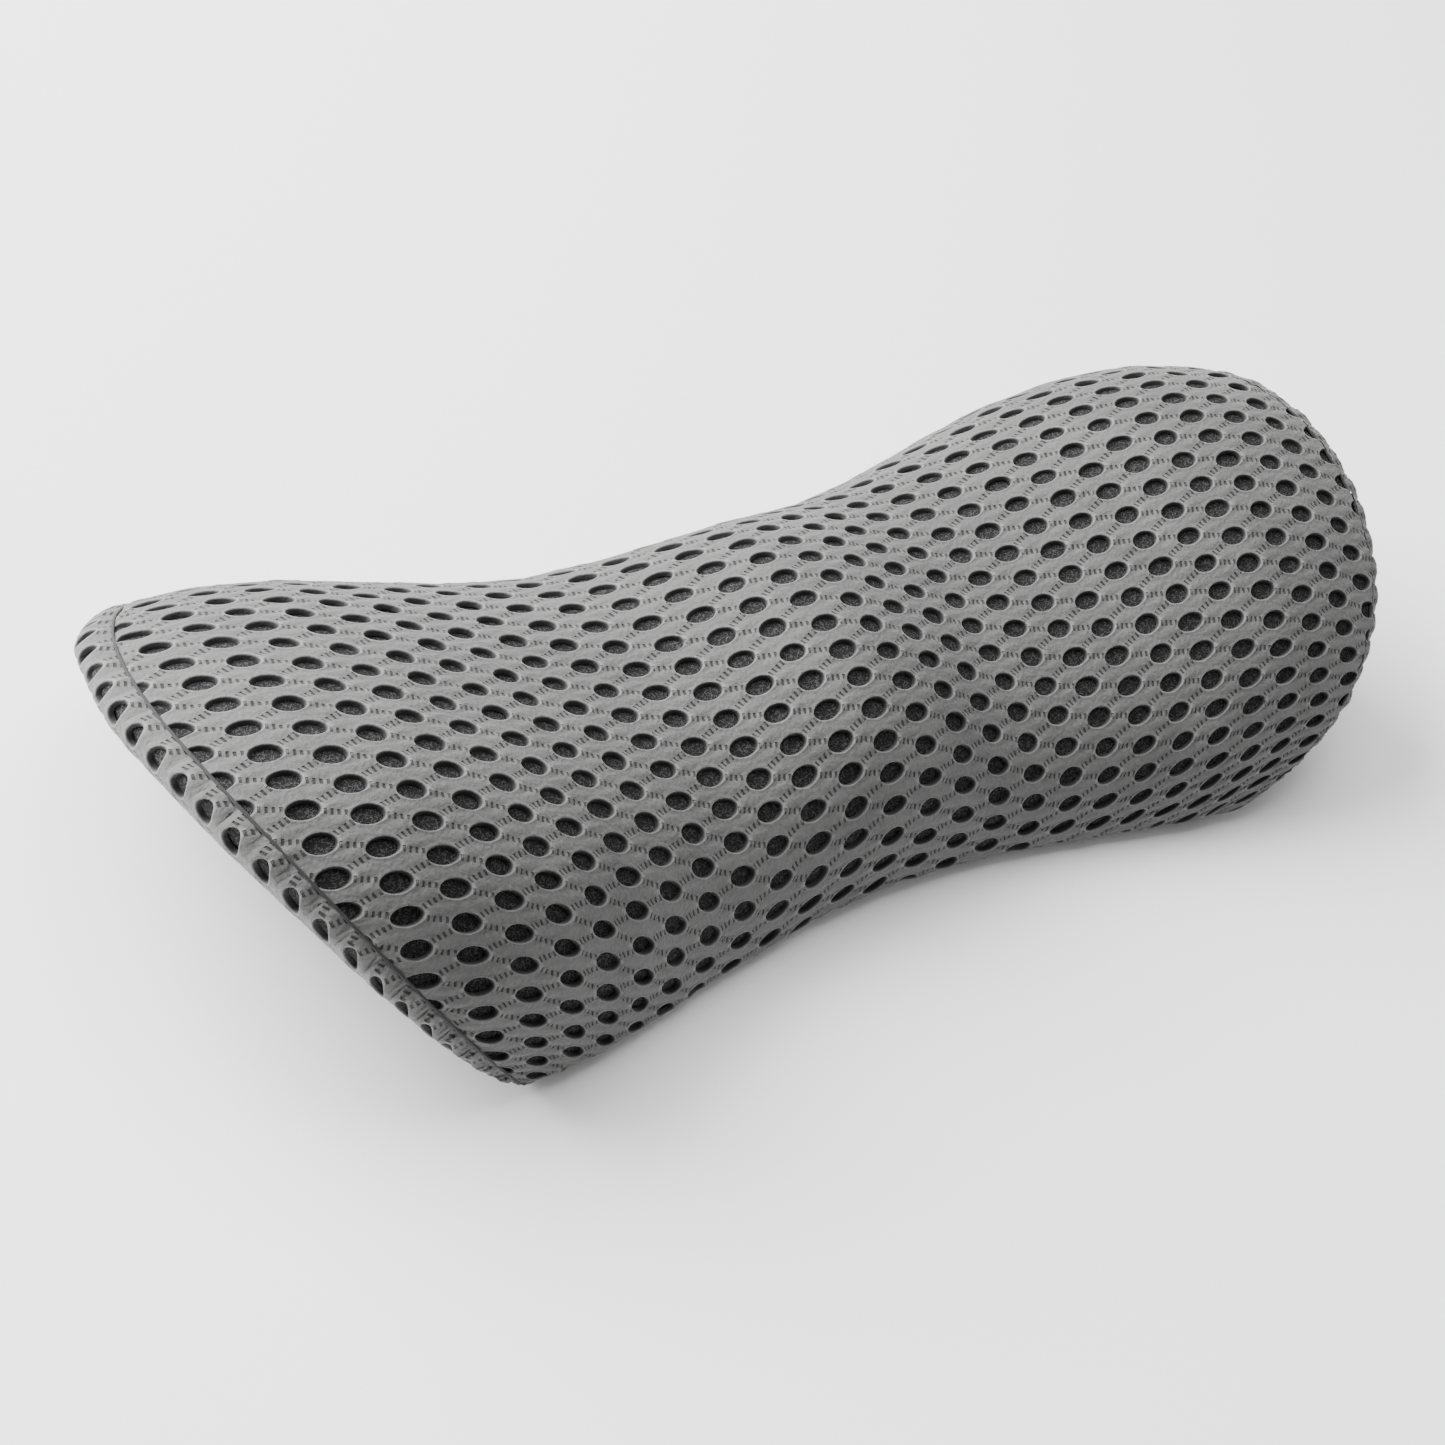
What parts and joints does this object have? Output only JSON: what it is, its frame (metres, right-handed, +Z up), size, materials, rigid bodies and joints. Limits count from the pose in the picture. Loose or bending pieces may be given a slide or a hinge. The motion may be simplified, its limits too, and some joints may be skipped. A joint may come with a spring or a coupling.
{
  "type": "lumbar support cushion",
  "caption": "Contoured lumbar cushion: waisted foam block with raised end lobes in a zipped spacer-mesh cover.",
  "frame": {"origin": "middle of the flat underside, on the plane that the cushion rests on", "axes": "+X along the cushion from left to right, +Y towards its far long side, +Z up through the padded face"},
  "size_m": [0.4064, 0.1668, 0.0739],
  "materials": {
    "mesh_cloth": "grey spacer mesh with open oval holes",
    "liner_knit": "thin off-white knit",
    "foam": "slow-recovery foam, matte",
    "zip_tape": "woven polyester tape",
    "zip_coil": "nylon coil, satin",
    "zip_metal": "dark lacquered zinc"
  },
  "bodies": {
    "cushion": {"foam_core": "foam", "liner_top": "liner_knit", "liner_bottom": "liner_knit", "cover_top_panel": "mesh_cloth", "cover_bottom_front": "mesh_cloth", "cover_bottom_rear": "mesh_cloth", "end_panel_left": "mesh_cloth", "end_panel_right": "mesh_cloth", "zip_tape_front": "zip_tape", "zip_tape_rear": "zip_tape", "zip_coil_front": "zip_coil", "zip_coil_rear": "zip_coil", "zip_top_stop_front": "zip_metal", "zip_top_stop_rear": "zip_metal", "zip_bottom_stop": "zip_metal"},
    "slider": {"zip_slider": "zip_metal"},
    "puller": {"zip_pull_tab": "zip_metal"}
  },
  "joints": [
    {"name": "zip_slide", "type": "slide", "parent": "cushion", "child": "slider", "axis": [1, 0, 0], "range_m": [0, 0.202]},
    {"name": "puller_hinge", "type": "hinge", "parent": "slider", "child": "puller", "pos_m": [-0.1085, 0, 0.0049], "axis": [0, 1, 0], "range_deg": [0, 150]}
  ]
}
